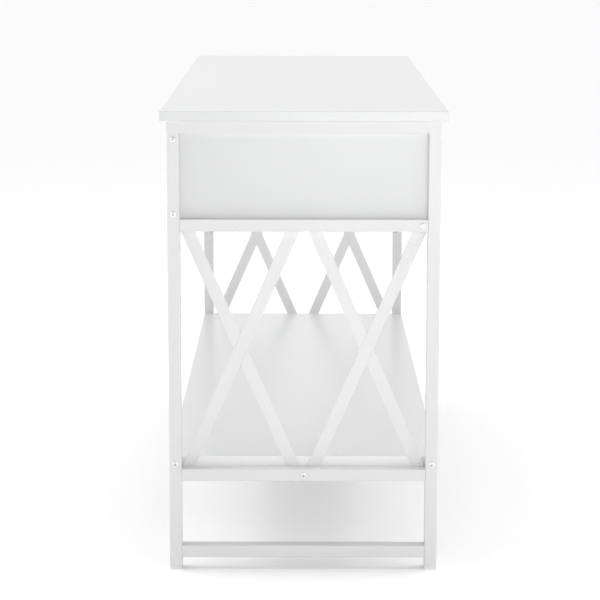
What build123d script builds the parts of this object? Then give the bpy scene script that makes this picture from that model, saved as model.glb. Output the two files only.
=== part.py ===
from build123d import *
from math import sqrt
import os

os.makedirs("parts", exist_ok=True)

# A console table with two drawers and a low shelf. X runs along the table, the drawers face -Y,
# and z = 0 is the floor. The origin is on the floor, under the middle of the frame.
# Left is -X and right is +X, as seen by someone who stands in front of the drawers.

# Overall size
LENGTH = 1380.0
DEPTH = 460.0
HEIGHT = 756.0
OVERHANG_X = 7.0
OVERHANG_Y = 10.5

# Boards
BOARD = 16.0
THIN_BOARD = 12.0
BOTTOM_BOARD = 3.0
EASED_EDGE = 0.8
SIDE_PANEL_RECESS = 13.0

# Steel tube
TUBE_FACE = 20.0
TUBE_DEPTH = 25.0
FRONT_STRETCHER_WIDTH = 16.0
WALL = 1.2
TUBE_ROUNDING = 1.6
NUT_PLUG_LENGTH = 12.0
FOOT_CAP_HEIGHT = 4.0
FOOT_CAP_INSERT = 12.0
FOOT_CAP_SLACK = 0.5
FOOT_CAP_WALL = 1.5
INSERT_GAP = 0.1
PLUG_CHAMFER = 0.6

# Underside of each rail of an end frame
FOOT_RAIL_Z = 20.5
SHELF_RAIL_Z = 149.5
APRON_RAIL_Z = 562.0

# Flat bars of the X braces
BAR_WIDTH = 20.0
BAR_THICKNESS = 3.0
BRACE_GAP = 12.0

# Drawers and their telescopic slides
DRAWER_SIDE_HEIGHT = 120.0
DRAWER_SIDE_LENGTH = 350.0
DRAWER_SIDE_Z = 592.0
DRAWER_BOTTOM_RISE = 10.0
GROOVE = 5.0
FRONT_GAP = 2.5
HALF_MIDDLE_GAP = 1.5
FRONT_CLEARANCE = 2.0
SLIDE_SPACE = 12.7
SLIDE_SHEET = 1.2
SLIDE_LENGTH = 345.0
SLIDE_Z = 640.0
SLIDE_SETBACK = 2.0
OUTER_MEMBER = (35.0, 10.5)
MIDDLE_MEMBER = (30.6, 8.5)
INNER_MEMBER = (26.2, 8.5)
MIDDLE_MEMBER_OFFSET = 2.0
MEMBER_ROUNDING = 1.5

# Outline of a turned knob: each point's radius and its distance from the drawer front
KNOB_FOOT = (8.0, 2.0)
KNOB_NECK = (6.0, 8.4)
KNOB_BRIM = (13.0, 17.3)
KNOB_SHOULDER = (9.4, 22.3)
KNOB_CROWN = (0.0, 24.0)

# Fasteners
BOLT_RADIUS = 3.0
BOLT_HEAD_RADIUS = 5.25
BOLT_HEAD_HEIGHT = 3.3
SOCKET_APOTHEM = 2.0
SOCKET_DEPTH = 2.0
SCREW_RADIUS = 2.0
SCREW_HEAD_RADIUS = 4.0
SCREW_HEAD_HEIGHT = 3.1
CROSS_RECESS_RADIUS = 2.2
FLAT_HEAD_HEIGHT = 2.2
HOLE_GAP = 0.1
BOLT_CLEARANCE = 0.3
ACCESS_HOLE_RADIUS = 4.3
BARREL_RADIUS = 5.0
BARREL_LENGTH = 12.0
BARREL_INSET = 28.0
BARREL_SLOT = (1.4, 1.5)
BACK_BOLT_RISE = 28.0
BACK_BOLT_SPACING = 120.0
BOARD_BOLT_LENGTH = 60.0
BOARD_BOLT_SPARE = 5.0
TUBE_BOLT_LENGTH = 40.0
TOP_SCREW_LENGTH = 11.2
PANEL_SCREW_LENGTH = 40.0
DIVIDER_SCREW_LENGTH = 50.0
BOX_SCREW_LENGTH = 34.0
SLIDE_SCREW_LENGTH = 7.5
SLIDE_SCREW_RADIUS = 1.75
SLIDE_SCREW_SETBACKS = (40.0, 300.0)
BOX_SCREW_RISES = (24.0, 104.0)
KNOB_SCREW_LENGTH = 26.0
KNOB_SCREW_SPARE = 1.0
CAM_RADIUS = 6.0
CAM_DEPTH = 9.0
CAM_SETBACK = 24.0
CAM_RISES = (34.0, 98.0)
CAM_SLOT = (1.4, 2.0)
DOWEL_RADIUS = 2.5
DOWEL_EMBED = 10.0

# Places worked out from the sizes above
FRAME_X = LENGTH / 2 - OVERHANG_X
INNER_X = FRAME_X - TUBE_DEPTH
FRAME_Y = DEPTH / 2 - OVERHANG_Y
INNER_Y = FRAME_Y - TUBE_FACE
LEG_Y = FRAME_Y - TUBE_FACE / 2
TOP_Z = HEIGHT - BOARD
TOP_RAIL_Z = TOP_Z - TUBE_FACE
SHELF_Z = SHELF_RAIL_Z + TUBE_FACE
APRON_Z = APRON_RAIL_Z + TUBE_FACE
FRONT_STRETCHER_Y = -(INNER_Y - FRONT_STRETCHER_WIDTH / 2)
BACK_PANEL_Y = LEG_Y - BOARD / 2
LOWER_BACK_BOLT_Z = APRON_RAIL_Z + BACK_BOLT_RISE
BACK_BOLT_ZS = (LOWER_BACK_BOLT_Z, LOWER_BACK_BOLT_Z + BACK_BOLT_SPACING)
SHELF_BOLT_Z = SHELF_Z + BOARD / 2
PANEL_SCREW_X = FRAME_X - SIDE_PANEL_RECESS - THIN_BOARD / 2
PANEL_SCREW_Y = 148.0
TOP_SCREW_X = FRAME_X - SIDE_PANEL_RECESS / 2
TOP_SCREW_YS = (-170.0, 0.0, 170.0)
DIVIDER_SCREW_ZS = (600.0, 700.0)
BAY_WIDTH = INNER_X - BOARD / 2
FRONT_BACK_Y = -(INNER_Y + FRONT_CLEARANCE)
FRONT_FACE_Y = FRONT_BACK_Y - BOARD
DRAWER_BACK_Y = FRONT_BACK_Y + DRAWER_SIDE_LENGTH
SLIDE_FRONT_Y = -(INNER_Y - SLIDE_SETBACK)
SLIDE_MIDDLE_Y = SLIDE_FRONT_Y + SLIDE_LENGTH / 2
SLIDE_SCREW_YS = [SLIDE_FRONT_Y + setback for setback in SLIDE_SCREW_SETBACKS]
BOX_SCREW_ZS = [DRAWER_SIDE_Z + rise for rise in BOX_SCREW_RISES]
CAM_ZS = [DRAWER_SIDE_Z + rise for rise in CAM_RISES]
KNOB_Z = (APRON_RAIL_Z + TOP_Z) / 2

ENDS = {"left": -1, "right": 1}
SIDES = {"front": -1, "back": 1}
FROM_BASE = (Align.CENTER, Align.CENTER, Align.MIN)

# The dome of a fastener's head, as shares of its radius and height
DOME_FLAT = 0.5
DOME_RIM = 0.2
DOME_SHOULDER = (0.85, 0.7)


def finish(name, builder):
    """Label a finished piece and write its file."""
    builder.part.label = name
    export_step(builder.part, f"parts/{name}.step")


def end_plane(end, inset):
    """A plane across the table that faces out of one end, with local x along end * Y and y up."""
    return Plane(origin=(end * (FRAME_X - inset), 0, 0), x_dir=(0, end, 0), z_dir=(end, 0, 0))


def tube(plane, width, depth, length):
    """Add a length of rounded box tube, starting on a plane."""
    with BuildSketch(plane) as section:
        RectangleRounded(width, depth, TUBE_ROUNDING)
        RectangleRounded(width - 2 * WALL, depth - 2 * WALL, TUBE_ROUNDING - WALL, mode=Mode.SUBTRACT)
    extrude(section.sketch, amount=length)


def board(low, high):
    """Add a board between its lowest and highest corners."""
    low = Vector(*low)
    high = Vector(*high)
    size = high - low
    with Locations((low + high) / 2):
        return Box(size.X, size.Y, size.Z)


def drill(start, direction, radius, depth):
    """Cut a round hole from a point on a face into the material."""
    with Locations(Plane(origin=start, z_dir=direction)):
        Cylinder(radius, depth, align=FROM_BASE, mode=Mode.SUBTRACT)


def countersink(start, direction, head_radius, hole_radius, depth):
    """Cut the conical seat of a flat screw head."""
    with Locations(Plane(origin=start, z_dir=direction)):
        Cone(head_radius, hole_radius, depth, align=FROM_BASE, mode=Mode.SUBTRACT)


def turning_plane(seat, direction):
    """The plane of a turned profile: local x is the radius and local y runs along direction."""
    direction = Vector(*direction)
    radial = Vector(1, 0, 0) if abs(direction.Z) > 0.5 else Vector(0, 0, 1)
    return Plane(origin=seat, x_dir=radial, z_dir=radial.cross(direction))


def domed(seat, direction, shank_radius, length, head_radius, head_height):
    """Add a domed-head fastener that rests on its seat and points along direction."""
    flat_radius = head_radius * DOME_FLAT
    shoulder = (head_radius * DOME_SHOULDER[0], -head_height * DOME_SHOULDER[1])
    with BuildSketch(turning_plane(seat, direction)) as profile:
        with BuildLine():
            rim_point = (head_radius, -head_height * DOME_RIM)
            Polyline((0, length), (shank_radius, length), (shank_radius, 0), (head_radius, 0), rim_point)
            ThreePointArc(rim_point, shoulder, (flat_radius, -head_height))
            Polyline((flat_radius, -head_height), (0, -head_height), (0, length))
        make_face()
    revolve(profile.sketch, axis=Axis(seat, direction))


def head_plane(seat, direction, head_height):
    """The plane on top of a fastener's head, facing into it."""
    return Plane(origin=Vector(*seat) - Vector(*direction) * head_height, z_dir=direction)


def cross_recess(plane, radius):
    """Cut a cross recess into a screw head."""
    slot_width = radius / 3
    depth = radius * 0.6
    with Locations(plane):
        Box(2 * radius, slot_width, depth, align=FROM_BASE, mode=Mode.SUBTRACT)
        Box(slot_width, 2 * radius, depth, align=FROM_BASE, mode=Mode.SUBTRACT)


def bolt(seat, direction, length):
    """Add a button-head bolt with a hexagon socket."""
    domed(seat, direction, BOLT_RADIUS, length, BOLT_HEAD_RADIUS, BOLT_HEAD_HEIGHT)
    with BuildSketch(head_plane(seat, direction, BOLT_HEAD_HEIGHT)) as socket:
        RegularPolygon(radius=SOCKET_APOTHEM, side_count=6, major_radius=False)
    extrude(socket.sketch, amount=SOCKET_DEPTH, mode=Mode.SUBTRACT)


def pan_screw(seat, direction, length):
    """Add a pan-head screw with a cross recess."""
    domed(seat, direction, SCREW_RADIUS, length, SCREW_HEAD_RADIUS, SCREW_HEAD_HEIGHT)
    cross_recess(head_plane(seat, direction, SCREW_HEAD_HEIGHT), CROSS_RECESS_RADIUS)


def flat_screw(seat, direction, length, radius, head_radius, head_height):
    """Add a flat-head screw whose head is flush with its seat."""
    with BuildSketch(turning_plane(seat, direction)) as profile:
        with BuildLine():
            Polyline((0, 0), (head_radius, 0), (radius, head_height), (radius, length), (0, length), close=True)
        make_face()
    revolve(profile.sketch, axis=Axis(seat, direction))
    cross_recess(head_plane(seat, direction, 0), head_radius * 0.5)


# ---- End frames: tubes, flat-bar braces and panels ----

for end_name, end in ENDS.items():
    inward = (-end, 0, 0)
    for side_name, side in SIDES.items():
        leg_middle = (end * (FRAME_X - TUBE_DEPTH / 2), side * LEG_Y, FOOT_CAP_HEIGHT)
        with BuildPart() as leg:
            tube(Plane(origin=leg_middle), TUBE_DEPTH, TUBE_FACE, TOP_Z - FOOT_CAP_HEIGHT)
            bolt_heights = (SHELF_BOLT_Z, *BACK_BOLT_ZS) if side_name == "back" else (SHELF_BOLT_Z,)
            for z in bolt_heights:
                drill((end * FRAME_X, side * LEG_Y, z), inward, BOLT_RADIUS + BOLT_CLEARANCE, TUBE_DEPTH)
        finish(f"leg_{side_name}_{end_name}", leg)

    rail_heights = {"foot": FOOT_RAIL_Z, "shelf": SHELF_RAIL_Z, "apron": APRON_RAIL_Z, "top": TOP_RAIL_Z}
    for rail_name, rail_z in rail_heights.items():
        rail_start = (end * (FRAME_X - TUBE_DEPTH / 2), -INNER_Y, rail_z + TUBE_FACE / 2)
        with BuildPart() as rail:
            tube(Plane(origin=rail_start, x_dir=(1, 0, 0), z_dir=(0, 1, 0)), TUBE_DEPTH, TUBE_FACE, 2 * INNER_Y)
            if rail_name == "shelf":
                start = (end * FRAME_X, 0, rail_z + TUBE_FACE / 2)
                drill(start, inward, BOLT_RADIUS + BOLT_CLEARANCE, TUBE_DEPTH)
            if rail_name == "apron":
                start = (end * FRAME_X, FRONT_STRETCHER_Y, rail_z + TUBE_FACE / 2)
                drill(start, inward, BOLT_RADIUS + BOLT_CLEARANCE, TUBE_DEPTH)
                for y in (-PANEL_SCREW_Y, PANEL_SCREW_Y):
                    drill((end * PANEL_SCREW_X, y, rail_z), (0, 0, 1), SCREW_RADIUS + HOLE_GAP, TUBE_FACE)
            if rail_name == "top":
                for y in (-PANEL_SCREW_Y, PANEL_SCREW_Y):
                    drill((end * PANEL_SCREW_X, y, rail_z), (0, 0, 1), SCREW_RADIUS + HOLE_GAP, TUBE_FACE)
                    drill((end * PANEL_SCREW_X, y, TOP_Z), (0, 0, -1), ACCESS_HOLE_RADIUS, TUBE_FACE / 2)
                for y in TOP_SCREW_YS:
                    drill((end * TOP_SCREW_X, y, rail_z), (0, 0, 1), ACCESS_HOLE_RADIUS, TUBE_FACE / 2)
                    drill((end * TOP_SCREW_X, y, TOP_Z), (0, 0, -1), SCREW_RADIUS + HOLE_GAP, TUBE_FACE / 2)
        finish(f"{end_name}_end_{rail_name}_rail", rail)

    outer_x = end * (FRAME_X - SIDE_PANEL_RECESS)
    inner_x = outer_x - end * THIN_BOARD
    with BuildPart() as panel:
        board((min(outer_x, inner_x), -INNER_Y, APRON_Z), (max(outer_x, inner_x), INNER_Y, TOP_RAIL_Z))
        for y in (-PANEL_SCREW_Y, PANEL_SCREW_Y):
            into_panel = PANEL_SCREW_LENGTH - TUBE_FACE
            drill((end * PANEL_SCREW_X, y, APRON_Z), (0, 0, 1), SCREW_RADIUS + HOLE_GAP, into_panel)
            drill((end * PANEL_SCREW_X, y, TOP_RAIL_Z), (0, 0, -1), SCREW_RADIUS + HOLE_GAP, into_panel)
        for y in SLIDE_SCREW_YS:
            drill((inner_x, y, SLIDE_Z), (end, 0, 0), SLIDE_SCREW_RADIUS + HOLE_GAP, SLIDE_SCREW_LENGTH)
    finish(f"{end_name}_end_panel", panel)

# Two X braces stand side by side in each end frame. In each X one flat bar runs through, and
# the other is in two halves that are welded to its edges. The bars' outer edges start in corners.
BRACE_SPAN = INNER_Y - BRACE_GAP / 2
BRACE_RISE = APRON_RAIL_Z - SHELF_Z
SQUARES = BRACE_RISE**2 - BAR_WIDTH**2
BAR_FOOT = (
    sqrt(BAR_WIDTH**4 * BRACE_SPAN**2 + SQUARES * BAR_WIDTH**2 * (BRACE_RISE**2 + BRACE_SPAN**2))
    - BAR_WIDTH**2 * BRACE_SPAN
) / SQUARES


def bar_outline(near_u, far_u, mode):
    """Draw a slanting bar with level ends, from near_u at the shelf rail to far_u at the apron rail."""
    step = BAR_FOOT if far_u > near_u else -BAR_FOOT
    foot = [(near_u, SHELF_Z), (near_u + step, SHELF_Z)]
    head = [(far_u, APRON_RAIL_Z), (far_u - step, APRON_RAIL_Z)]
    Polygon(*foot, *head, align=None, mode=mode)


for end_name, end in ENDS.items():
    for side_name, side in SIDES.items():
        edges = sorted((end * side * BRACE_GAP / 2, end * side * INNER_Y))
        with BuildPart() as through_bar:
            with BuildSketch(end_plane(end, TUBE_DEPTH)):
                bar_outline(edges[0], edges[1], Mode.ADD)
            extrude(amount=BAR_THICKNESS)
        finish(f"{end_name}_end_brace_{side_name}", through_bar)
        with BuildPart() as half_bars:
            with BuildSketch(end_plane(end, TUBE_DEPTH)):
                bar_outline(edges[1], edges[0], Mode.ADD)
                bar_outline(edges[0], edges[1], Mode.SUBTRACT)
            extrude(amount=BAR_THICKNESS)
        finish(f"{end_name}_end_brace_{side_name}_halves", half_bars)

cap_inset = 2 * (WALL + INSERT_GAP + FOOT_CAP_SLACK)
hollow_inset = cap_inset + 2 * FOOT_CAP_WALL
with BuildPart() as foot_caps:
    for end in ENDS.values():
        for side in SIDES.values():
            middle = (end * (FRAME_X - TUBE_DEPTH / 2), side * LEG_Y)
            with BuildSketch(Plane.XY):
                with Locations(middle):
                    RectangleRounded(TUBE_DEPTH, TUBE_FACE, TUBE_ROUNDING)
            extrude(amount=FOOT_CAP_HEIGHT)
            with BuildSketch(Plane.XY.offset(FOOT_CAP_HEIGHT)):
                with Locations(middle):
                    Rectangle(TUBE_DEPTH - cap_inset, TUBE_FACE - cap_inset)
                    Rectangle(TUBE_DEPTH - hollow_inset, TUBE_FACE - hollow_inset, mode=Mode.SUBTRACT)
            extrude(amount=FOOT_CAP_INSERT)
finish("foot_caps", foot_caps)

# ---- Stretchers that join the two end frames ----

with BuildPart() as front_stretcher:
    start = (-INNER_X, FRONT_STRETCHER_Y, APRON_RAIL_Z + TUBE_FACE / 2)
    tube(Plane(origin=start, x_dir=(0, 1, 0), z_dir=(1, 0, 0)), FRONT_STRETCHER_WIDTH, TUBE_FACE, 2 * INNER_X)
    drill((0, FRONT_STRETCHER_Y, APRON_RAIL_Z), (0, 0, 1), SCREW_RADIUS + HOLE_GAP, TUBE_FACE)
finish("front_stretcher", front_stretcher)

with BuildPart() as shelf_stretcher:
    start = (-INNER_X, 0, SHELF_RAIL_Z + TUBE_FACE / 2)
    tube(Plane(origin=start, x_dir=(0, 1, 0), z_dir=(1, 0, 0)), TUBE_FACE, TUBE_FACE, 2 * INNER_X)
finish("shelf_stretcher", shelf_stretcher)

plug_inset = 2 * (WALL + INSERT_GAP)
with BuildPart() as stretcher_end_nuts:
    for end in ENDS.values():
        plug_x = end * (INNER_X - NUT_PLUG_LENGTH / 2)
        plugs = {
            (plug_x, FRONT_STRETCHER_Y, APRON_RAIL_Z + TUBE_FACE / 2): FRONT_STRETCHER_WIDTH,
            (plug_x, 0, SHELF_RAIL_Z + TUBE_FACE / 2): TUBE_FACE,
        }
        for place, width in plugs.items():
            with Locations(place):
                plug = Box(NUT_PLUG_LENGTH, width - plug_inset, TUBE_FACE - plug_inset)
            chamfer(plug.edges().filter_by(Axis.X), PLUG_CHAMFER)
            hole_start = (end * INNER_X, place[1], place[2])
            drill(hole_start, (-end, 0, 0), BOLT_RADIUS + HOLE_GAP, NUT_PLUG_LENGTH)
finish("stretcher_end_nuts", stretcher_end_nuts)

# ---- Boards ----

with BuildPart() as tabletop:
    slab = board((-LENGTH / 2, -DEPTH / 2, TOP_Z), (LENGTH / 2, DEPTH / 2, HEIGHT))
    fillet(slab.edges(), EASED_EDGE)
    for end in ENDS.values():
        for y in TOP_SCREW_YS:
            drill((end * TOP_SCREW_X, y, TOP_Z), (0, 0, 1), SCREW_RADIUS + HOLE_GAP, TOP_SCREW_LENGTH)
finish("tabletop", tabletop)

BOARD_BOLT_HOLE = BOARD_BOLT_LENGTH - TUBE_DEPTH + BOARD_BOLT_SPARE
BARREL_HOLE = (BOARD + BARREL_LENGTH) / 2

with BuildPart() as shelf:
    slab = board((-INNER_X, -FRAME_Y, SHELF_Z), (INNER_X, FRAME_Y, SHELF_Z + BOARD))
    fillet(slab.edges().filter_by(Axis.X), EASED_EDGE)
    for end in ENDS.values():
        for side in SIDES.values():
            hole_start = (end * INNER_X, side * LEG_Y, SHELF_BOLT_Z)
            drill(hole_start, (-end, 0, 0), BOLT_RADIUS + BOLT_CLEARANCE, BOARD_BOLT_HOLE)
            barrel_start = (end * (INNER_X - BARREL_INSET), side * LEG_Y, SHELF_Z)
            drill(barrel_start, (0, 0, 1), BARREL_RADIUS + HOLE_GAP, BARREL_HOLE)
finish("shelf", shelf)

with BuildPart() as back_panel:
    board((-INNER_X, BACK_PANEL_Y, APRON_RAIL_Z), (INNER_X, BACK_PANEL_Y + BOARD, TOP_Z))
    for end in ENDS.values():
        for z in BACK_BOLT_ZS:
            drill((end * INNER_X, LEG_Y, z), (-end, 0, 0), BOLT_RADIUS + BOLT_CLEARANCE, BOARD_BOLT_HOLE)
            barrel_start = (end * (INNER_X - BARREL_INSET), BACK_PANEL_Y, z)
            drill(barrel_start, (0, 1, 0), BARREL_RADIUS + HOLE_GAP, BARREL_HOLE)
    for z in DIVIDER_SCREW_ZS:
        back_face = (0, BACK_PANEL_Y + BOARD, z)
        drill(back_face, (0, -1, 0), SCREW_RADIUS + HOLE_GAP, BOARD)
        seat_radius = SCREW_HEAD_RADIUS + HOLE_GAP
        countersink(back_face, (0, -1, 0), seat_radius, SCREW_RADIUS + HOLE_GAP, FLAT_HEAD_HEIGHT)
finish("back_panel", back_panel)

with BuildPart() as divider:
    board((-BOARD / 2, -INNER_Y, APRON_Z), (BOARD / 2, BACK_PANEL_Y, TOP_Z))
    for z in DIVIDER_SCREW_ZS:
        into_divider = DIVIDER_SCREW_LENGTH - BOARD
        drill((0, BACK_PANEL_Y, z), (0, -1, 0), SCREW_RADIUS + HOLE_GAP, into_divider)
    into_divider = PANEL_SCREW_LENGTH - TUBE_FACE
    drill((0, FRONT_STRETCHER_Y, APRON_Z), (0, 0, 1), SCREW_RADIUS + HOLE_GAP, into_divider)
    for facing in (-1, 1):
        for y in SLIDE_SCREW_YS:
            start = (facing * BOARD / 2, y, SLIDE_Z)
            drill(start, (-facing, 0, 0), SLIDE_SCREW_RADIUS + HOLE_GAP, SLIDE_SCREW_LENGTH)
finish("divider", divider)

# ---- Frame and board fasteners ----

with BuildPart() as frame_bolts:
    for end in ENDS.values():
        inward = (-end, 0, 0)
        for side in SIDES.values():
            bolt((end * FRAME_X, side * LEG_Y, SHELF_BOLT_Z), inward, BOARD_BOLT_LENGTH)
        for z in BACK_BOLT_ZS:
            bolt((end * FRAME_X, LEG_Y, z), inward, BOARD_BOLT_LENGTH)
        bolt((end * FRAME_X, FRONT_STRETCHER_Y, APRON_RAIL_Z + TUBE_FACE / 2), inward, TUBE_BOLT_LENGTH)
        bolt((end * FRAME_X, 0, SHELF_RAIL_Z + TUBE_FACE / 2), inward, TUBE_BOLT_LENGTH)
finish("frame_bolts", frame_bolts)


def barrel_nut(start, direction, end):
    """Add a cross-drilled barrel nut that lies along direction, half its length each side of a bolt."""
    with Locations(Plane(origin=start, z_dir=direction)):
        Cylinder(BARREL_RADIUS, BARREL_LENGTH, align=FROM_BASE)
        Box(2 * BARREL_RADIUS, *BARREL_SLOT, align=FROM_BASE, mode=Mode.SUBTRACT)
    middle = Vector(*start) + Vector(*direction) * (BARREL_LENGTH / 2)
    hole_start = middle + Vector(end * 2 * BARREL_RADIUS, 0, 0)
    drill(hole_start, (-end, 0, 0), BOLT_RADIUS + HOLE_GAP, 4 * BARREL_RADIUS)


with BuildPart() as barrel_nuts:
    for end in ENDS.values():
        x = end * (INNER_X - BARREL_INSET)
        for side in SIDES.values():
            barrel_nut((x, side * LEG_Y, SHELF_BOLT_Z - BARREL_LENGTH / 2), (0, 0, 1), end)
        for z in BACK_BOLT_ZS:
            barrel_nut((x, LEG_Y - BARREL_LENGTH / 2, z), (0, 1, 0), end)
finish("barrel_nuts", barrel_nuts)

with BuildPart() as panel_screws:
    for end in ENDS.values():
        for y in (-PANEL_SCREW_Y, PANEL_SCREW_Y):
            pan_screw((end * PANEL_SCREW_X, y, APRON_RAIL_Z), (0, 0, 1), PANEL_SCREW_LENGTH)
            upper_seat = (end * PANEL_SCREW_X, y, TOP_RAIL_Z + WALL)
            pan_screw(upper_seat, (0, 0, -1), PANEL_SCREW_LENGTH - TUBE_FACE)
finish("panel_screws", panel_screws)

with BuildPart() as tabletop_screws:
    for end in ENDS.values():
        for y in TOP_SCREW_YS:
            pan_screw((end * TOP_SCREW_X, y, TOP_Z - WALL), (0, 0, 1), TOP_SCREW_LENGTH + WALL)
finish("tabletop_screws", tabletop_screws)

with BuildPart() as divider_screws:
    for z in DIVIDER_SCREW_ZS:
        back_face = (0, BACK_PANEL_Y + BOARD, z)
        sizes = (DIVIDER_SCREW_LENGTH, SCREW_RADIUS, SCREW_HEAD_RADIUS, FLAT_HEAD_HEIGHT)
        flat_screw(back_face, (0, -1, 0), *sizes)
    pan_screw((0, FRONT_STRETCHER_Y, APRON_RAIL_Z), (0, 0, 1), PANEL_SCREW_LENGTH)
finish("divider_screws", divider_screws)

# ---- Telescopic slides: one member on the cabinet, one between, one on the drawer ----


def channel(x, opening, size):
    """Add a slide member with its web's back at x and its two flanges pointing along opening * X."""
    height, depth = size
    plane = Plane(origin=(x, SLIDE_MIDDLE_Y, SLIDE_Z), x_dir=(opening, 0, 0), z_dir=(0, -opening, 0))
    with BuildSketch(plane) as section:
        outer = Rectangle(depth, height, align=(Align.MIN, Align.CENTER))
        fillet(outer.vertices().sort_by(Axis.X)[:2], MEMBER_ROUNDING)
        with Locations((SLIDE_SHEET, 0)):
            Rectangle(depth, height - 2 * SLIDE_SHEET, align=(Align.MIN, Align.CENTER), mode=Mode.SUBTRACT)
    extrude(section.sketch, amount=SLIDE_LENGTH / 2, both=True)


def screw_seats(x, direction):
    """Cut the two conical screw seats of a slide member's web, from the web's inner face."""
    for y in SLIDE_SCREW_YS:
        seat_radius = 2 * SLIDE_SCREW_RADIUS + HOLE_GAP
        countersink((x, y, SLIDE_Z), direction, seat_radius, SLIDE_SCREW_RADIUS + HOLE_GAP, SLIDE_SHEET)


def slide_screws(x, direction):
    """Add the two screws of a slide member, with their heads flush in the web."""
    for y in SLIDE_SCREW_YS:
        sizes = (SLIDE_SCREW_LENGTH + SLIDE_SHEET, SLIDE_SCREW_RADIUS, 2 * SLIDE_SCREW_RADIUS, SLIDE_SHEET)
        flat_screw((x, y, SLIDE_Z), direction, *sizes)


def bay_walls(hand):
    """The two walls of a drawer's bay, each as its x and the direction from the wall into the bay."""
    return ((hand * BOARD / 2, hand), (hand * INNER_X, -hand))


for hand_name, hand in ENDS.items():
    with BuildPart() as cabinet_members:
        for wall_x, into_bay in bay_walls(hand):
            channel(wall_x, into_bay, OUTER_MEMBER)
            screw_seats(wall_x + into_bay * SLIDE_SHEET, (-into_bay, 0, 0))
    finish(f"{hand_name}_slide_cabinet_members", cabinet_members)
    with BuildPart() as middle_members:
        for wall_x, into_bay in bay_walls(hand):
            channel(wall_x + into_bay * MIDDLE_MEMBER_OFFSET, into_bay, MIDDLE_MEMBER)
    finish(f"{hand_name}_slide_middle_members", middle_members)
    with BuildPart() as drawer_members:
        for wall_x, into_bay in bay_walls(hand):
            channel(wall_x + into_bay * SLIDE_SPACE, -into_bay, INNER_MEMBER)
            screw_seats(wall_x + into_bay * (SLIDE_SPACE - SLIDE_SHEET), (into_bay, 0, 0))
    finish(f"{hand_name}_slide_drawer_members", drawer_members)

with BuildPart() as slide_cabinet_screws:
    for hand in ENDS.values():
        for wall_x, into_bay in bay_walls(hand):
            slide_screws(wall_x + into_bay * SLIDE_SHEET, (-into_bay, 0, 0))
finish("slide_cabinet_screws", slide_cabinet_screws)

# ---- Drawers ----

BOX_HALF = BAY_WIDTH / 2 - SLIDE_SPACE
BOX_INNER_HALF = BOX_HALF - THIN_BOARD
BOTTOM_Z = DRAWER_SIDE_Z + DRAWER_BOTTOM_RISE
SIDE_TOP_Z = DRAWER_SIDE_Z + DRAWER_SIDE_HEIGHT
BOX_BACK_FRONT_Y = DRAWER_BACK_Y - THIN_BOARD
BOX_SCREW_Y = DRAWER_BACK_Y - THIN_BOARD / 2


def bottom_groove(middle_x, gap):
    """Cut or fill the space of a drawer's bottom board, which stands in grooves on all four sides."""
    low = Vector(middle_x - BOX_INNER_HALF - GROOVE - gap, FRONT_BACK_Y - GROOVE - gap, BOTTOM_Z - gap)
    high = Vector(middle_x + BOX_INNER_HALF + GROOVE + gap, BOX_BACK_FRONT_Y + GROOVE + gap, BOTTOM_Z)
    high += Vector(0, 0, BOTTOM_BOARD + gap)
    size = high - low
    with Locations((low + high) / 2):
        Box(size.X, size.Y, size.Z, mode=Mode.SUBTRACT if gap else Mode.ADD)


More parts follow.
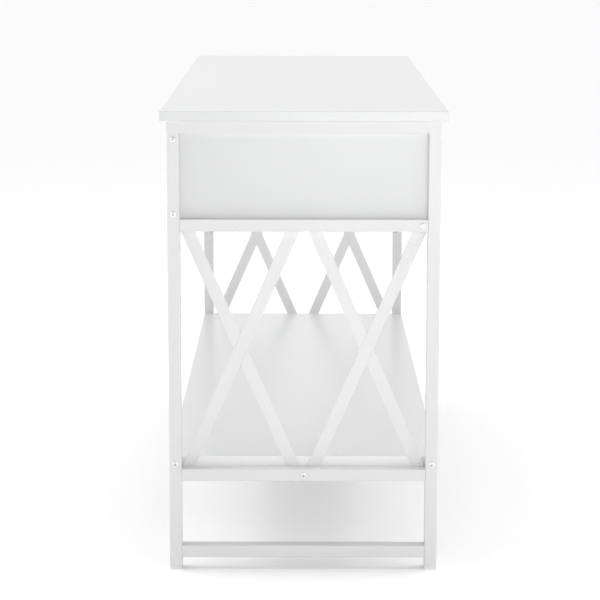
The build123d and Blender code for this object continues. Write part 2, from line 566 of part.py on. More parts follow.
for hand_name, hand in ENDS.items():
    middle_x = hand * (BOARD / 2 + BAY_WIDTH / 2)

    front_xs = sorted((hand * HALF_MIDDLE_GAP, hand * (INNER_X - FRONT_GAP)))
    knob_x = sum(front_xs) / 2
    with BuildPart() as front:
        low = (front_xs[0], FRONT_FACE_Y, APRON_RAIL_Z + FRONT_GAP)
        slab = board(low, (front_xs[1], FRONT_BACK_Y, TOP_Z - FRONT_GAP))
        fillet(slab.edges(), EASED_EDGE)
        bottom_groove(middle_x, HOLE_GAP)
        drill((knob_x, FRONT_BACK_Y, KNOB_Z), (0, -1, 0), SCREW_RADIUS + HOLE_GAP, BOARD)
        for wall in (-1, 1):
            for z in CAM_ZS:
                start = (middle_x + wall * (BOX_HALF - THIN_BOARD / 2), FRONT_BACK_Y, z)
                drill(start, (0, -1, 0), DOWEL_RADIUS + HOLE_GAP, DOWEL_EMBED)
    finish(f"{hand_name}_drawer_front", front)

    for wall_name, wall in ENDS.items():
        outer_x = middle_x + wall * BOX_HALF
        inner_x = middle_x + wall * BOX_INNER_HALF
        xs = sorted((outer_x, inner_x))
        with BuildPart() as drawer_side:
            slab = board((xs[0], FRONT_BACK_Y, DRAWER_SIDE_Z), (xs[1], DRAWER_BACK_Y, SIDE_TOP_Z))
            chamfer(slab.edges().filter_by(Axis.Y), EASED_EDGE)
            bottom_groove(middle_x, HOLE_GAP)
            for z in BOX_SCREW_ZS:
                outer_face = (outer_x, BOX_SCREW_Y, z)
                drill(outer_face, (-wall, 0, 0), SCREW_RADIUS + HOLE_GAP, THIN_BOARD)
                seat_radius = SCREW_HEAD_RADIUS + HOLE_GAP
                countersink(outer_face, (-wall, 0, 0), seat_radius, SCREW_RADIUS + HOLE_GAP, FLAT_HEAD_HEIGHT)
            for y in SLIDE_SCREW_YS:
                start = (outer_x, y, SLIDE_Z)
                drill(start, (-wall, 0, 0), SLIDE_SCREW_RADIUS + HOLE_GAP, SLIDE_SCREW_LENGTH)
            for z in CAM_ZS:
                cam_start = (inner_x, FRONT_BACK_Y + CAM_SETBACK, z)
                drill(cam_start, (wall, 0, 0), CAM_RADIUS + HOLE_GAP, CAM_DEPTH)
                dowel_start = (outer_x - wall * THIN_BOARD / 2, FRONT_BACK_Y, z)
                drill(dowel_start, (0, 1, 0), DOWEL_RADIUS + HOLE_GAP, CAM_SETBACK)
        finish(f"{hand_name}_drawer_{wall_name}_side", drawer_side)

    with BuildPart() as box_back:
        low = (middle_x - BOX_INNER_HALF, BOX_BACK_FRONT_Y, DRAWER_SIDE_Z)
        board(low, (middle_x + BOX_INNER_HALF, DRAWER_BACK_Y, SIDE_TOP_Z))
        bottom_groove(middle_x, HOLE_GAP)
        for wall in (-1, 1):
            for z in BOX_SCREW_ZS:
                start = (middle_x + wall * BOX_INNER_HALF, BOX_SCREW_Y, z)
                drill(start, (-wall, 0, 0), SCREW_RADIUS + HOLE_GAP, BOX_SCREW_LENGTH - THIN_BOARD)
    finish(f"{hand_name}_drawer_back", box_back)

    with BuildPart() as drawer_bottom:
        bottom_groove(middle_x, 0)
    finish(f"{hand_name}_drawer_bottom", drawer_bottom)

    with BuildPart() as knob:
        with BuildSketch(turning_plane((knob_x, FRONT_FACE_Y, KNOB_Z), (0, -1, 0))) as profile:
            with BuildLine():
                Polyline((0, 0), (KNOB_FOOT[0], 0), KNOB_FOOT)
                Spline(KNOB_FOOT, KNOB_NECK, KNOB_BRIM, tangents=((-0.6, 1), (0.4, 1)))
                Spline(KNOB_BRIM, KNOB_SHOULDER, KNOB_CROWN, tangents=((0, 1), (-1, 0)))
                Line(KNOB_CROWN, (0, 0))
            make_face()
        revolve(profile.sketch, axis=Axis((knob_x, FRONT_FACE_Y, KNOB_Z), (0, -1, 0)))
        into_knob = KNOB_SCREW_LENGTH - BOARD + KNOB_SCREW_SPARE
        drill((knob_x, FRONT_FACE_Y, KNOB_Z), (0, -1, 0), SCREW_RADIUS + HOLE_GAP, into_knob)
    finish(f"{hand_name}_drawer_knob", knob)

    with BuildPart() as knob_screw:
        pan_screw((knob_x, FRONT_BACK_Y, KNOB_Z), (0, -1, 0), KNOB_SCREW_LENGTH)
    finish(f"{hand_name}_drawer_knob_screw", knob_screw)

    with BuildPart() as drawer_screws:
        for wall_x, into_bay in bay_walls(hand):
            slide_screws(wall_x + into_bay * (SLIDE_SPACE - SLIDE_SHEET), (into_bay, 0, 0))
        for wall in (-1, 1):
            for z in BOX_SCREW_ZS:
                sizes = (BOX_SCREW_LENGTH, SCREW_RADIUS, SCREW_HEAD_RADIUS, FLAT_HEAD_HEIGHT)
                flat_screw((middle_x + wall * BOX_HALF, BOX_SCREW_Y, z), (-wall, 0, 0), *sizes)
    finish(f"{hand_name}_drawer_screws", drawer_screws)

    with BuildPart() as drawer_cams:
        for wall in (-1, 1):
            for z in CAM_ZS:
                cam_face = (middle_x + wall * BOX_INNER_HALF, FRONT_BACK_Y + CAM_SETBACK, z)
                with Locations(Plane(origin=cam_face, z_dir=(wall, 0, 0))):
                    Cylinder(CAM_RADIUS, CAM_DEPTH, align=FROM_BASE)
                    Box(CAM_RADIUS, *CAM_SLOT, align=FROM_BASE, mode=Mode.SUBTRACT)
                dowel_x = middle_x + wall * (BOX_HALF - THIN_BOARD / 2)
                with Locations(Plane(origin=(dowel_x, FRONT_BACK_Y - DOWEL_EMBED, z), z_dir=(0, 1, 0))):
                    Cylinder(DOWEL_RADIUS, DOWEL_EMBED + CAM_SETBACK - CAM_RADIUS, align=FROM_BASE)
    finish(f"{hand_name}_drawer_cams", drawer_cams)
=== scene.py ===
from math import cos, pi, radians, sin

import bmesh
import bpy
from mathutils import Matrix, Vector


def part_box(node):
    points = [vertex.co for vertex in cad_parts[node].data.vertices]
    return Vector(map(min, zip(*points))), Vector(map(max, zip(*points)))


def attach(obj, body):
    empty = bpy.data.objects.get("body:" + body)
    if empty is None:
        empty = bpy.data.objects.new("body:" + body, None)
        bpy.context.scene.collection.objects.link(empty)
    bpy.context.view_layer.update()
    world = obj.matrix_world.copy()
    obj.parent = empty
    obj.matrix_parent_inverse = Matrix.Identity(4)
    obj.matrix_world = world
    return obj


# The looks of a white console table: powder-coated steel end frames, melamine-faced boards and
# zinc-plated fasteners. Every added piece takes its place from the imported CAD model.

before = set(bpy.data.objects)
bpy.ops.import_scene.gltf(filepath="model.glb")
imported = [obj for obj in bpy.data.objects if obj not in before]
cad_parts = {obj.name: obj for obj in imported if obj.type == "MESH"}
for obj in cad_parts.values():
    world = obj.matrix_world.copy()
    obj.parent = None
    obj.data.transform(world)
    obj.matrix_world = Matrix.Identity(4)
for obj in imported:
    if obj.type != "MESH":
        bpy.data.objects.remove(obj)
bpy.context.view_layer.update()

# ---- Camera, floor and light ----

CAMERA_PLACE = Vector((-4.1923, 0.0050, 1.0663))
CAMERA_PITCH = radians(9.945)
CAMERA_YAW = radians(0.016)
CAMERA_ROLL = radians(0.084)
CAMERA_LENS = 132.47
SENSOR_WIDTH = 36.0

FLOOR_SIZE = 200.0
FLOOR_COLOR = (0.98, 0.98, 0.98)
FLOOR_ROUGHNESS = 0.9

# How bright the sky is at these heights, as the sine of the elevation, towards each side of the
# table: past its near end, past its far end, and past its two long sides.
SKY_HEIGHTS = (0.0, 0.25, 0.5, 0.8, 1.0)
SKY_SIDES = {
    (-1, 0): (0.72, 0.0, 0.0, 0.0, 0.64),
    (1, 0): (0.72, 1.28, 1.28, 1.28, 0.64),
    (0, -1): (0.72, 0.0, 1.76, 1.76, 0.64),
    (0, 1): (0.72, 0.0, 1.76, 1.76, 0.64),
}
SKY_BRIGHTEST = max(max(levels) for levels in SKY_SIDES.values())
NEAR_ZERO = 0.000001

# Each softbox: its place, the point that it faces, its width, its height and its power.
SOFTBOXES = {
    "near_end_fill": ((-6.0, 0.0, 0.9), (-0.7, 0.0, 0.6), 3.7, 1.4, 46.0),
    "near_end_key": ((-1.8, -0.35, 0.76), (-0.7, 0.0, 0.68), 0.9, 0.4, 4.0),
    "back_key": ((0.0, 2.2, 2.0), (0.0, 0.0, 0.3), 2.2, 1.0, 18.0),
    "back_fill": ((0.0, 2.2, 0.45), (0.0, 0.0, 0.3), 2.2, 0.7, 7.0),
    "drawer_side_key": ((0.0, -2.2, 2.0), (0.0, 0.0, 0.3), 2.2, 1.0, 10.0),
    "drawer_side_fill": ((0.0, -2.2, 0.45), (0.0, 0.0, 0.3), 2.2, 0.7, 8.0),
}


def add_node(tree, kind, inputs=None, **settings):
    """Add a shader node. An input is a number, a colour or another node's output."""
    node = tree.nodes.new(kind)
    for setting, value in settings.items():
        setattr(node, setting, value)
    for socket, value in (inputs or {}).items():
        if isinstance(value, bpy.types.NodeSocket):
            tree.links.new(value, node.inputs[socket])
        else:
            node.inputs[socket].default_value = value
    return node


def make_camera():
    """A long lens low over one end of the table, looking along its length."""
    data = bpy.data.cameras.new("camera")
    data.sensor_width = SENSOR_WIDTH
    data.lens = CAMERA_LENS
    camera = bpy.data.objects.new("camera", data)
    bpy.context.scene.collection.objects.link(camera)
    turn = Matrix.Rotation(CAMERA_YAW - pi / 2, 4, "Z")
    tilt = Matrix.Rotation(pi / 2 - CAMERA_PITCH, 4, "X")
    roll = Matrix.Rotation(CAMERA_ROLL, 4, "Z")
    camera.matrix_world = Matrix.Translation(CAMERA_PLACE) @ turn @ tilt @ roll
    bpy.context.scene.camera = camera


def make_softbox(name, place, target, width, height, power):
    """A rectangular area light that faces a point and doesn't show itself."""
    data = bpy.data.lights.new(name, "AREA")
    data.shape = "RECTANGLE"
    data.size = width
    data.size_y = height
    data.energy = power
    light = bpy.data.objects.new(name, data)
    bpy.context.scene.collection.objects.link(light)
    light.location = place
    light.rotation_euler = (Vector(target) - Vector(place)).to_track_quat("-Z", "Y").to_euler()
    light.visible_camera = False


def make_sky():
    """A white studio with a brightness of its own towards each side, blended in between."""
    world = bpy.data.worlds.new("studio")
    world.use_nodes = True
    tree = world.node_tree

    def math(operation, first, second):
        """One step of arithmetic."""
        return add_node(tree, "ShaderNodeMath", {0: first, 1: second}, operation=operation).outputs[0]

    direction = add_node(tree, "ShaderNodeTexCoord").outputs["Generated"]
    x, y, z = add_node(tree, "ShaderNodeSeparateXYZ", {"Vector": direction}).outputs
    flat = math("MAXIMUM", math("ADD", math("MULTIPLY", x, x), math("MULTIPLY", y, y)), NEAR_ZERO)
    total = 0.0
    for (side_x, side_y), levels in SKY_SIDES.items():
        along_side = math("ADD", math("MULTIPLY", x, side_x), math("MULTIPLY", y, side_y))
        towards = math("MAXIMUM", along_side, 0.0)
        share = math("DIVIDE", math("MULTIPLY", towards, towards), flat)
        profile = add_node(tree, "ShaderNodeValToRGB", {"Fac": z})
        stops = profile.color_ramp.elements
        while len(stops) < len(SKY_HEIGHTS):
            stops.new(position=0.5)
        for stop, height, level in zip(stops, SKY_HEIGHTS, levels):
            stop.position = height
            tone = level / SKY_BRIGHTEST
            stop.color = (tone, tone, tone, 1.0)
        total = math("ADD", math("MULTIPLY", profile.outputs["Color"], share), total)
    background = tree.nodes["Background"]
    background.inputs["Color"].default_value = (1, 1, 1, 1)
    tree.links.new(math("MULTIPLY", total, SKY_BRIGHTEST), background.inputs["Strength"])
    bpy.context.scene.world = world


def make_floor():
    """A wide pale floor at the height of the feet."""
    edge = FLOOR_SIZE / 2
    mesh = bpy.data.meshes.new("floor")
    corners = [(-edge, -edge, 0), (edge, -edge, 0), (edge, edge, 0), (-edge, edge, 0)]
    mesh.from_pydata(corners, [], [(0, 1, 2, 3)])
    floor = bpy.data.objects.new("floor", mesh)
    bpy.context.scene.collection.objects.link(floor)
    look = Look("studio_floor", FLOOR_COLOR, FLOOR_ROUGHNESS)
    floor.data.materials.append(look.material)


# ---- Materials ----

# Colours of the finishes.
PAINT = (0.68, 0.68, 0.68)
# Painted light: the brace bars take a lighter copy of the frame's paint, standing in for more light on the
# shaded braces.
BRACE_PAINT_PAINTED_LIGHT = (0.72, 0.72, 0.72)
BOARD = (0.632, 0.641, 0.637)
# Painted light: the shelf's edge band is far lighter than the board, standing in for light on the shelf's
# shaded ends.
SHELF_EDGE_BAND_PAINTED_LIGHT = (0.84, 0.85, 0.84)
BOX_BOARD = (0.62, 0.625, 0.62)
HARDBOARD = (0.74, 0.74, 0.73)
NYLON = (0.74, 0.74, 0.73)
ZINC_SHEET = (0.58, 0.59, 0.6)
NICKEL = (0.66, 0.65, 0.63)

# Plated fasteners: each one's material, colour and roughness.
BOLT_PLATE = ("bolt_zinc_plate", (0.93, 0.93, 0.92), 0.42)
NUT_PLATE = ("nut_zinc_plate", (0.55, 0.55, 0.54), 0.4)
SCREW_PLATE = ("screw_zinc_plate", (0.6, 0.6, 0.6), 0.34)
CAM_CASTING = ("cam_die_casting", (0.42, 0.42, 0.43), 0.46)
# Painted shade: the panel screws are coloured near black, standing in for the shade that falls on them
# under the apron rail.
PANEL_SCREW_PAINTED_SHADE = ("panel_screw_painted_shade", (0.05, 0.05, 0.05), 0.45)

# Roughness of the boards' faces, and the edge band's width, hairline and shade.
BOARD_ROUGHNESS = 0.28
BOX_BOARD_ROUGHNESS = 0.42
EDGE_BAND = 0.0009
BAND_HAIRLINE = 0.00012
SEAM_SHADE = 0.72

# Reach of a bolt head's socket from the bolt's axis, and the painted shade that darkens the socket,
# standing in for the shade in its hollow.
SOCKET_RADIUS = 0.00233
SOCKET_PAINTED_SHADE = 0.5

# How far the texture moves the roughness of a board, and of plated steel.
PEARL_SPREAD = 0.05
FROST_SMOOTHER = 0.06
FROST_ROUGHER = 0.08

X_AXIS, Y_AXIS, Z_AXIS = range(3)

# The axis across the thickness of each board.
BOARD_AXES = {
    "tabletop": Z_AXIS,
    "shelf": Z_AXIS,
    "left_end_panel": X_AXIS,
    "right_end_panel": X_AXIS,
    "back_panel": Y_AXIS,
    "divider": X_AXIS,
    "left_drawer_front": Y_AXIS,
    "right_drawer_front": Y_AXIS,
    "left_drawer_back": Y_AXIS,
    "right_drawer_back": Y_AXIS,
    "left_drawer_left_side": X_AXIS,
    "left_drawer_right_side": X_AXIS,
    "right_drawer_left_side": X_AXIS,
    "right_drawer_right_side": X_AXIS,
}

# Most noise lies in this range.
NOISE_RANGE = (0.3, 0.7)

# The sockets of a colour Mix node have numbers here, because some of their names repeat.
MIX_FACTOR = 0
MIX_FIRST = 6
MIX_SECOND = 7
MIX_RESULT = 2


class Look:
    """A Principled material, with short calls to add the nodes that give it its detail."""

    def __init__(self, name, color, roughness, metallic=0.0):
        self.material = bpy.data.materials.new(name)
        self.material.use_nodes = True
        self.tree = self.material.node_tree
        self.shader = self.tree.nodes["Principled BSDF"]
        self.material.diffuse_color = (*color, 1.0)
        self.shader.inputs["Base Color"].default_value = (*color, 1.0)
        self.shader.inputs["Roughness"].default_value = roughness
        self.shader.inputs["Metallic"].default_value = metallic
        self.place = self.add("ShaderNodeTexCoord").outputs["Object"]

    def add(self, kind, inputs=None, **settings):
        """Add a node to this material."""
        return add_node(self.tree, kind, inputs, **settings)

    def math(self, operation, first, second=0.0):
        """One step of arithmetic."""
        return self.add("ShaderNodeMath", {0: first, 1: second}, operation=operation).outputs[0]

    def stretched(self, factors):
        """The piece's own coordinates, stretched along each axis."""
        return self.add("ShaderNodeMapping", {"Vector": self.place, "Scale": factors}).outputs[0]

    def noise(self, scale, detail=2.0, roughness=0.5, place=None):
        """Smooth noise with about `scale` bumps a metre."""
        place = place or self.place
        sockets = {"Vector": place, "Scale": scale, "Detail": detail, "Roughness": roughness}
        return self.add("ShaderNodeTexNoise", sockets).outputs["Fac"]

    def between(self, share, low, high):
        """A number that goes from low to high as share crosses the range where most noise lies."""
        start, stop = NOISE_RANGE
        sockets = {"Value": share, "From Min": start, "From Max": stop, "To Min": low, "To Max": high}
        return self.add("ShaderNodeMapRange", sockets).outputs[0]

    def tinted(self, share, color, other):
        """A colour that goes from one to another as share goes from 0 to 1."""
        inputs = {MIX_FACTOR: share, MIX_FIRST: color, MIX_SECOND: other}
        return self.add("ShaderNodeMix", inputs, data_type="RGBA").outputs[MIX_RESULT]

    def mottled(self, share, color, darkest):
        """The colour, and its darkest shade where the noise is low."""
        patches = self.between(share, low=0.0, high=1.0)
        return self.tinted(patches, scaled(color, darkest), scaled(color, 1.0))

    def set(self, name, value):
        """Join a node's output to one of the shader's inputs."""
        self.tree.links.new(value, self.shader.inputs[name])

    def relief(self, height, depth, over=None):
        """Small bumps `depth` metres high. Give over the relief that they lie on."""
        sockets = {"Height": height, "Distance": depth, "Strength": 1.0}
        if over is not None:
            sockets["Normal"] = over
        return self.add("ShaderNodeBump", sockets).outputs[0]


def scaled(color, share):
    """A colour made darker or lighter."""
    return (*(share * value for value in color[:3]), 1.0)


def powder_coat(name, color):
    """Baked powder paint: a fine orange peel, and a satin gloss that wanders a little."""
    look = Look(name, color, roughness=0.4)
    peel = look.noise(scale=520.0, detail=3.0, roughness=0.55)
    grain = look.noise(scale=2600.0, detail=1.0)
    drift = look.noise(scale=9.0, detail=2.0)
    look.set("Base Color", look.mottled(drift, color, darkest=0.985))
    look.set("Roughness", look.between(peel, low=0.36, high=0.46))
    look.set("Normal", look.relief(grain, depth=0.000004, over=look.relief(peel, depth=0.00003)))
    return look.material


def melamine(board, color, band_color_with_painted_light, roughness):
    """Melamine-faced board: a pearl texture, faint mottling, and an edge band that ends in a hairline. The
    band's colour is given apart, and on the shelf it is painted light.
    """
    look = Look(f"{board}_melamine", color, roughness)
    pearl = look.noise(scale=1500.0, detail=2.0, roughness=0.6)
    cloud = look.noise(scale=7.0, detail=3.0)
    low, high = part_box(board)
    parts = look.add("ShaderNodeSeparateXYZ", {"Vector": look.place})
    margins = []
    for axis, letter in enumerate("XYZ"):
        if axis != BOARD_AXES[board]:
            offset = look.math("SUBTRACT", parts.outputs[letter], (low[axis] + high[axis]) / 2)
            from_middle = look.math("ABSOLUTE", offset)
            margins.append(look.math("SUBTRACT", (high[axis] - low[axis]) / 2, from_middle))
    margin = look.math("MINIMUM", *margins)
    off_line = look.math("ABSOLUTE", look.math("SUBTRACT", margin, EDGE_BAND))
    line = {"Value": off_line, "From Min": 0.0, "From Max": BAND_HAIRLINE, "To Min": 1.0, "To Max": 0.0}
    seam = look.add("ShaderNodeMapRange", line).outputs[0]
    on_band = look.math("LESS_THAN", margin, EDGE_BAND)
    # On the band the colour is the given band colour, which on the shelf is painted light.
    faced = look.tinted(on_band, look.mottled(cloud, color, darkest=0.985), scaled(band_color_with_painted_light, 1.0))
    look.set("Base Color", look.tinted(seam, faced, scaled(color, SEAM_SHADE)))
    look.set("Roughness", look.between(pearl, low=roughness - PEARL_SPREAD, high=roughness + PEARL_SPREAD))
    height = look.math("SUBTRACT", look.between(pearl, low=0.0, high=0.2), seam)
    look.set("Normal", look.relief(height, depth=0.00004))
    return look.material


def hardboard(name, color):
    """White-faced hardboard: flat paint over a faint fibre."""
    look = Look(name, color, roughness=0.6)
    along_grain = look.stretched((1.0, 0.25, 1.0))
    fibre = look.noise(scale=900.0, detail=4.0, roughness=0.7, place=along_grain)
    look.set("Base Color", look.mottled(fibre, color, darkest=0.96))
    look.set("Roughness", look.between(fibre, low=0.52, high=0.66))
    look.set("Normal", look.relief(fibre, depth=0.00003))
    return look.material


def nylon(name, color):
    """Moulded plastic with a fine spark-eroded texture."""
    look = Look(name, color, roughness=0.5)
    spark = look.noise(scale=1800.0, detail=3.0, roughness=0.7)
    look.set("Base Color", look.mottled(spark, color, darkest=0.97))
    look.set("Roughness", look.between(spark, low=0.44, high=0.58))
    look.set("Normal", look.relief(spark, depth=0.00003))
    return look.material


def plated(name, color, roughness, sockets=()):
    """Plated steel: a fine frost and an uneven tint. The sockets are places across X where the colour is
    darkened with painted shade, standing in for the shade in their hollows.
    """
    look = Look(name, color, roughness, metallic=1.0)
    frost = look.noise(scale=2200.0, detail=3.0, roughness=0.65)
    tint = look.noise(scale=60.0, detail=3.0)
    finish = look.mottled(tint, color, darkest=0.9)
    # Painted shade: the colour is darkened within a socket's reach of each bolt's axis, where the hollow
    # is shaded.
    if sockets:
        parts = look.add("ShaderNodeSeparateXYZ", {"Vector": look.place})
        flattened = {"Y": parts.outputs["Y"], "Z": parts.outputs["Z"]}
        across = look.add("ShaderNodeCombineXYZ", flattened).outputs[0]
        nearest = SOCKET_RADIUS * 2
        for y, z in sockets:
            away = look.add("ShaderNodeVectorMath", {0: across, 1: (0.0, y, z)}, operation="DISTANCE")
            nearest = look.math("MINIMUM", away.outputs["Value"], nearest)
        in_painted_socket_shade = look.math("LESS_THAN", nearest, SOCKET_RADIUS)
        finish = look.tinted(in_painted_socket_shade, finish, scaled(color, SOCKET_PAINTED_SHADE))
    look.set("Base Color", finish)
    smoothest = roughness - FROST_SMOOTHER
    roughest = roughness + FROST_ROUGHER
    look.set("Roughness", look.between(frost, low=smoothest, high=roughest))
    look.set("Normal", look.relief(frost, depth=0.00001))
    return look.material


def rolled_steel(name, color):
    """Zinc-plated sheet, with rolling marks along the slide."""
    look = Look(name, color, roughness=0.32, metallic=1.0)
    along_slide = look.stretched((1.0, 0.02, 1.0))
    marks = look.noise(scale=1400.0, detail=2.0, roughness=0.6, place=along_slide)
    spangle = look.noise(scale=140.0, detail=3.0, roughness=0.6)
    look.set("Base Color", look.mottled(spangle, color, darkest=0.88))
    look.set("Roughness", look.between(marks, low=0.26, high=0.4))
    look.set("Normal", look.relief(marks, depth=0.000008))
    return look.material


def turned_nickel(knob, color):
    """Brushed nickel turned on a lathe: fine rings round the knob's own axis."""
    look = Look(f"{knob}_nickel", color, roughness=0.25, metallic=1.0)
    low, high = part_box(knob)
    centre = (low + high) / 2
    axis_place = (centre.x, 0.0, centre.z)
    moved = look.add("ShaderNodeVectorMath", {0: look.place, 1: axis_place}, operation="SUBTRACT")
    parts = look.add("ShaderNodeSeparateXYZ", {"Vector": moved.outputs[0]})
    across = look.add("ShaderNodeCombineXYZ", {"X": parts.outputs["X"], "Z": parts.outputs["Z"]})
    radius = look.add("ShaderNodeVectorMath", {0: across.outputs[0]}, operation="LENGTH").outputs["Value"]
    ringed = look.add("ShaderNodeCombineXYZ", {"X": radius, "Y": parts.outputs["Y"]}).outputs[0]
    rings = look.noise(scale=3200.0, detail=2.0, roughness=0.7, place=ringed)
    look.set("Roughness", look.between(rings, low=0.2, high=0.34))
    look.set("Base Color", look.tinted(rings, scaled(color, 0.94), scaled(color, 1.04)))
    look.set("Normal", look.relief(rings, depth=0.000006))
    return look.material


def give_materials(sockets):
    """Give every CAD node its finished material. The sockets are places across X in the bolt heads."""
    shared = {
        "frame_paint": powder_coat("frame_powder_coat", PAINT),
        "drawer_bottom_board": hardboard("drawer_bottom_hardboard", HARDBOARD),
        "foot_plastic": nylon("foot_nylon", NYLON),
        "bolt_zinc": plated(*BOLT_PLATE, sockets),
        "nut_zinc": plated(*NUT_PLATE),
        "screw_zinc": plated(*SCREW_PLATE),
        "slide_steel": rolled_steel("slide_zinc_sheet", ZINC_SHEET),
        "cam_metal": plated(*CAM_CASTING),
    }
    # A lighter copy of the frame paint for the braces, as painted light.
    brace_coat_painted_light = powder_coat("brace_powder_coat_painted_light", BRACE_PAINT_PAINTED_LIGHT)
    # Near black as painted shade, for the shaded panel screws under the apron rail.
    screw_painted_shade_finish = plated(*PANEL_SCREW_PAINTED_SHADE)
    for name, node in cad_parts.items():
        slot = node.material_slots[0].material.name
        if name in BOARD_AXES:
            color = BOARD if slot == "white_board" else BOX_BOARD
            # The shelf's band gets painted light; every other board's band is the board's own colour.
            band_color_with_painted_light = SHELF_EDGE_BAND_PAINTED_LIGHT if name == "shelf" else color
            roughness = BOARD_ROUGHNESS if slot == "white_board" else BOX_BOARD_ROUGHNESS
            finished = melamine(name, color, band_color_with_painted_light, roughness)
        elif slot == "knob_metal":
            finished = turned_nickel(name, NICKEL)
        elif name == "panel_screws":
            finished = screw_painted_shade_finish
        elif "_brace_" in name:
            finished = brace_coat_painted_light
        else:
            finished = shared[slot]
        node.material_slots[0].material = finished
    return shared


# ---- Worked edges ----

SAME_PLACE = 0.000002
PLACE_DIGITS = 5
BRACE_BEVEL = 0.0006
BEVEL_SEGMENTS = 2
BEVEL_ANGLE = radians(40)


def separate_solids(name):
    """The lowest and highest corners of each separate solid of a CAD node."""
    mesh = bmesh.new()
    mesh.from_mesh(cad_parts[name].data)
    bmesh.ops.remove_doubles(mesh, verts=mesh.verts, dist=SAME_PLACE)
    waiting = set(mesh.verts)
    solids = []
    while waiting:
        frontier = [waiting.pop()]
        reached = []
        while frontier:
            vertex = frontier.pop()
            reached.append(vertex.co.copy())
            for edge in vertex.link_edges:
                other = edge.other_vert(vertex)
                if other in waiting:
                    waiting.remove(other)
                    frontier.append(other)
        solids.append([[limit(places) for places in zip(*reached)] for limit in (min, max)])
    mesh.free()
    return sorted(solids)


def socket_places():
    """The place across X of each bolt head's socket."""
    places = set()
    for solid in separate_solids("frame_bolts"):
        middle = tuple(round((low + high) / 2, PLACE_DIGITS) for low, high in zip(*solid))
        places.add(middle[1:])
    return sorted(places)


def soften_braces():
    """Break the sheared edges of the flat bars."""
    for name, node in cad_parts.items():
        if "_brace_" in name:
            node.modifiers.new("joined_faces", "WELD").merge_threshold = SAME_PLACE
            bevel = node.modifiers.new("broken_edges", "BEVEL")
            bevel.width = BRACE_BEVEL
            bevel.segments = BEVEL_SEGMENTS
            bevel.limit_method = "ANGLE"
            bevel.angle_limit = BEVEL_ANGLE
            node.modifiers.new("flat_faces", "WEIGHTED_NORMAL")


# ---- Welds ----

# A ground weld fills the rounded corner of a leg. It laps onto the rail, and stops short of its ends.
GROUND_WELD_WIDTH = 0.0019
GROUND_WELD_PROUD = 0.00004
GROUND_WELD_DEPTH = 0.0012
GROUND_WELD_LAP = GROUND_WELD_WIDTH / 4
GROUND_WELD_MARGIN = GROUND_WELD_WIDTH / 2

# A fillet weld: its size, how far its root goes into the corner, how hollow its back is, and its ripple.
BEAD_SIZE = 0.0028
BEAD_ROOT = BEAD_SIZE / 8
BEAD_HOLLOW = 0.25
BEAD_SIDES = 6
BEAD_RIPPLE = 0.09
BEAD_PITCH = 0.0016
RINGS_PER_RIPPLE = 4


def add_piece(name, mesh, body, finish):
    """Add a mesh piece that rides on a body and takes its finish from a slot."""
    bmesh.ops.recalc_face_normals(mesh, faces=mesh.faces)
    data = bpy.data.meshes.new(name)
    mesh.to_mesh(data)
    mesh.free()
    piece = bpy.data.objects.new(name, data)
    bpy.context.scene.collection.objects.link(piece)
    data.materials.append(finish)
    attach(piece, body)


def add_prism(mesh, outline, low_z, high_z):
    """Add an upright closed prism on an outline of X and Y places."""
    rings = [[mesh.verts.new((x, y, z)) for x, y in outline] for z in (low_z, high_z)]
    for index in range(len(outline)):
        following = (index + 1) % len(outline)
        mesh.faces.new((rings[0][index], rings[0][following], rings[1][following], rings[1][index]))
    for ring in rings:
        mesh.faces.new(ring)


def make_ground_welds(finish):
    """Fill the corners between the legs and the top rails, which are welded and ground flush."""
    mesh = bmesh.new()
    for end in ("left", "right"):
        rail_low, rail_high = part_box(f"{end}_end_top_rail")
        for face_x, inward in ((rail_low.x, 1), (rail_high.x, -1)):
            for seam_y, side in ((rail_low.y, -1), (rail_high.y, 1)):
                outer_x = face_x - inward * GROUND_WELD_PROUD
                inner_x = face_x + inward * GROUND_WELD_DEPTH
                edge_y = seam_y + side * GROUND_WELD_WIDTH
                start_y = seam_y - side * GROUND_WELD_LAP
                outline = [(outer_x, start_y), (outer_x, edge_y), (inner_x, edge_y), (inner_x, start_y)]
                low_z = rail_low.z + GROUND_WELD_MARGIN
                high_z = rail_high.z - GROUND_WELD_MARGIN
                add_prism(mesh, outline, low_z, high_z)
    add_piece("ground_top_welds", mesh, "frame", finish)


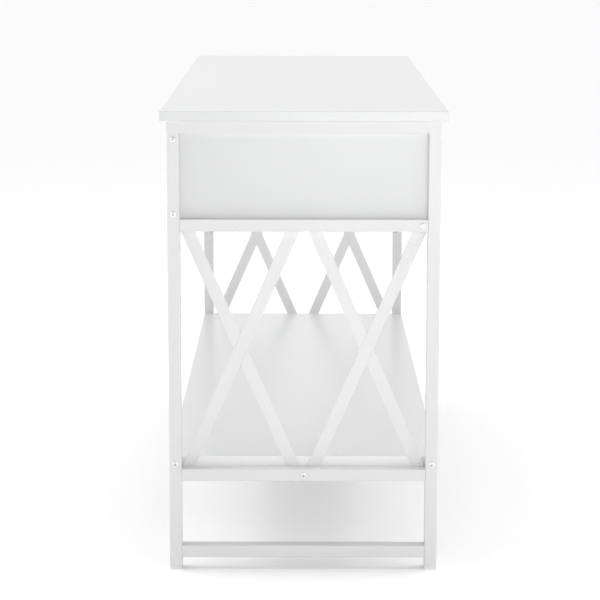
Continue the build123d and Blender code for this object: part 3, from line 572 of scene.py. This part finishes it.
def add_bead(mesh, start, end, first, second):
    """Add a rippled fillet weld from start to end, in the corner between two directions."""
    start, end, first, second = (Vector(value) for value in (start, end, first, second))
    along = end - start
    rings = []
    count = round(along.length / BEAD_PITCH) * RINGS_PER_RIPPLE
    for step in range(count + 1):
        share = step / count
        ripple = 1 + BEAD_RIPPLE * cos(2 * pi * step / RINGS_PER_RIPPLE)
        taper = min(1.0, (min(step, count - step) + 1) / RINGS_PER_RIPPLE)
        reach = BEAD_SIZE * ripple * taper
        middle = start + along * share
        ring = [mesh.verts.new(middle - (first + second) * BEAD_ROOT)]
        for side in range(BEAD_SIDES + 1):
            angle = pi / 2 * side / BEAD_SIDES
            bulge = reach * (1 - BEAD_HOLLOW * sin(2 * angle))
            ring.append(mesh.verts.new(middle + (first * cos(angle) + second * sin(angle)) * bulge))
        rings.append(ring)
    for ring, following in zip(rings, rings[1:]):
        for index in range(len(ring)):
            beside = (index + 1) % len(ring)
            mesh.faces.new((ring[index], ring[beside], following[beside], following[index]))
    for cap in (rings[0], rings[-1]):
        mesh.faces.new(cap)


def make_rail_beads(finish):
    """Weld the underside of each lower rail to the legs with a fillet, outside the brace bars."""
    mesh = bmesh.new()
    for end in ("left", "right"):
        bar_low, bar_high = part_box(f"{end}_end_brace_front")
        for rail in ("apron", "shelf", "foot"):
            low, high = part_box(f"{end}_end_{rail}_rail")
            start_x = low.x + BEAD_SIZE if end == "left" else bar_high.x
            stop_x = bar_low.x if end == "left" else high.x - BEAD_SIZE
            for seam_y, inward in ((low.y, 1), (high.y, -1)):
                start = (start_x, seam_y, low.z)
                stop = (stop_x, seam_y, low.z)
                add_bead(mesh, start, stop, first=(0, inward, 0), second=(0, 0, -1))
    add_piece("rail_weld_beads", mesh, "frame", finish)


# ---- Making the scene ----

bpy.context.scene.view_settings.view_transform = "Standard"
make_camera()
make_sky()
make_floor()
for softbox_name, softbox in SOFTBOXES.items():
    make_softbox(softbox_name, *softbox)
finishes = give_materials(socket_places())
soften_braces()
make_ground_welds(finishes["frame_paint"])
make_rail_beads(finishes["frame_paint"])
